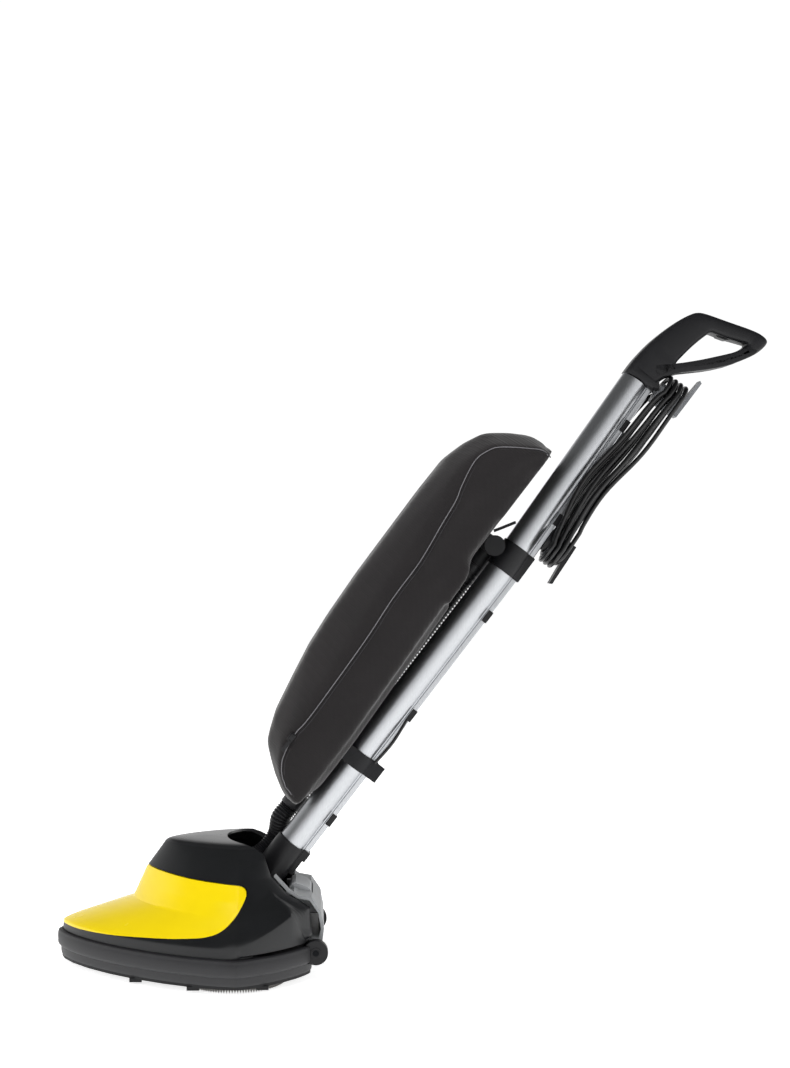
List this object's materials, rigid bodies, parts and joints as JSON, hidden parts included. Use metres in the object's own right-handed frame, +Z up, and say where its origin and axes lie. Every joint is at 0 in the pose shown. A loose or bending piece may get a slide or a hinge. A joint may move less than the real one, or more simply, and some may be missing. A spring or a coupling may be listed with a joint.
{
  "type": "floor polisher",
  "caption": "Upright floor polisher on rotating pads, with a tilting tube handle, suction hose, cloth dust bag and mains cable wound on two hooks.",
  "frame": {"origin": "on the floor, in the middle of the machine's length with the handle tilted back for use", "axes": "+X to the rear, where the user stands; +Z up; +Y to the machine's right"},
  "size_m": [0.9689, 0.33, 0.8874],
  "materials": {
    "hood_yellow": "gloss",
    "housing_black": "fine grain",
    "bumper_grey": "fine grain",
    "handle_black": "satin",
    "panel_grey": "satin",
    "pedal_grey": "ribbed satin",
    "tube_aluminium": "anodised, brushed lengthwise",
    "steel": "bright",
    "lamination_steel": "varnished",
    "copper_winding": "enamelled",
    "pulley_black": "matte",
    "holder_grey": "satin",
    "pad_felt": "dense felt",
    "belt_rubber": "matte",
    "wheel_rubber": "matte",
    "hose_black": "semi-gloss, ribbed",
    "cable_black": "gloss",
    "bag_cloth": "woven",
    "filter_paper": "soft paper",
    "hook_grey": "satin",
    "strap_web": "woven webbing",
    "switch_black": "gloss",
    "carbon": "dull"
  },
  "bodies": {
    "base": {"chassis": "housing_black", "bumper": "bumper_grey", "upper_housing": "housing_black", "front_hood": "hood_yellow", "rear_panel": "panel_grey", "motor_plate": "steel", "stator": "lamination_steel", "motor_cap": "pulley_black", "carbon_brushes": "carbon", "fan_housing": "housing_black", "bearings": "steel", "terminal_block": "pulley_black", "belt_front": "belt_rubber", "belt_left": "belt_rubber", "belt_right": "belt_rubber", "pivot_pins": "steel", "wheel_axles": "steel", "plate_screws": "steel", "pedal_pin": "steel", "pedal_spring": "steel", "hose_flex": "hose_black"},
    "disc_front": {"spindle_front": "steel", "pulley_front": "pulley_black", "holder_front": "holder_grey", "pad_front": "pad_felt"},
    "disc_left": {"spindle_left": "steel", "pulley_left": "pulley_black", "holder_left": "holder_grey", "pad_left": "pad_felt"},
    "disc_right": {"spindle_right": "steel", "pulley_right": "pulley_black", "holder_right": "holder_grey", "pad_right": "pad_felt"},
    "rotor": {"armature": "copper_winding", "motor_pulley": "pulley_black", "fan_wheel": "pulley_black"},
    "wheel_l": {"wheel_left": "wheel_rubber"},
    "wheel_r": {"wheel_right": "wheel_rubber"},
    "pedal": {"release_pedal": "pedal_grey"},
    "handle": {"foot_yoke": "handle_black", "lower_tube": "tube_aluminium", "upper_tube": "tube_aluminium", "tube_joiner": "steel", "collar": "handle_black", "cable_clips": "handle_black", "motor_lead": "cable_black", "handle_left": "handle_black", "handle_right": "handle_black", "lower_hook": "handle_black", "dust_bag": "bag_cloth", "filter_bag": "filter_paper", "bag_elbow": "handle_black", "suction_hose": "hose_black", "strap": "strap_web", "strain_relief": "handle_black", "cable_ends": "cable_black", "cable_hank": "cable_black", "plug": "cable_black"},
    "hook_swivel": {"upper_hook": "hook_grey"},
    "switch": {"power_switch": "switch_black"}
  },
  "joints": [
    {"name": "handle_tilt", "type": "hinge", "parent": "base", "child": "handle", "pos_m": [-0.2504, 0, 0.113], "axis": [0, 1, 0], "range_deg": [-40, 0], "deforming": ["hose_flex"]},
    {"name": "rotor_spin", "type": "hinge", "parent": "base", "child": "rotor", "pos_m": [-0.2824, 0, 0.08], "axis": [0, 0, 1], "continuous": true},
    {"name": "disc_front_spin", "type": "hinge", "parent": "base", "child": "disc_front", "pos_m": [-0.3711, 0, 0.013], "axis": [0, 0, 1], "continuous": true},
    {"name": "disc_left_spin", "type": "hinge", "parent": "base", "child": "disc_left", "pos_m": [-0.23805, -0.07682, 0.013], "axis": [0, 0, 1], "continuous": true},
    {"name": "disc_right_spin", "type": "hinge", "parent": "base", "child": "disc_right", "pos_m": [-0.23805, 0.07682, 0.013], "axis": [0, 0, 1], "continuous": true},
    {"name": "wheel_left_spin", "type": "hinge", "parent": "base", "child": "wheel_l", "pos_m": [-0.1314, -0.088, 0.037], "axis": [0, 1, 0], "continuous": true},
    {"name": "wheel_right_spin", "type": "hinge", "parent": "base", "child": "wheel_r", "pos_m": [-0.1314, 0.088, 0.037], "axis": [0, 1, 0], "continuous": true},
    {"name": "pedal_press", "type": "hinge", "parent": "base", "child": "pedal", "pos_m": [-0.1634, 0, 0.098], "axis": [0, 1, 0], "range_deg": [0, 12], "stiffness_Nm_per_rad": 2, "springref_deg": -5.73, "deforming": ["pedal_spring"]},
    {"name": "upper_hook_swivel", "type": "hinge", "parent": "handle", "child": "hook_swivel", "pos_m": [0.32417, 0, 0.78645], "axis": [0.8171, 0, -0.5764], "range_deg": [0, 180]},
    {"name": "switch_rock", "type": "hinge", "parent": "handle", "child": "switch", "pos_m": [0.42593, 0, 0.85785], "axis": [0, 1, 0], "range_deg": [0, 12]}
  ],
  "couplings": [
    {"joint": "disc_front_spin", "follows": "rotor_spin", "ratio": 0.275},
    {"joint": "disc_left_spin", "follows": "rotor_spin", "ratio": 0.275},
    {"joint": "disc_right_spin", "follows": "rotor_spin", "ratio": 0.275}
  ]
}
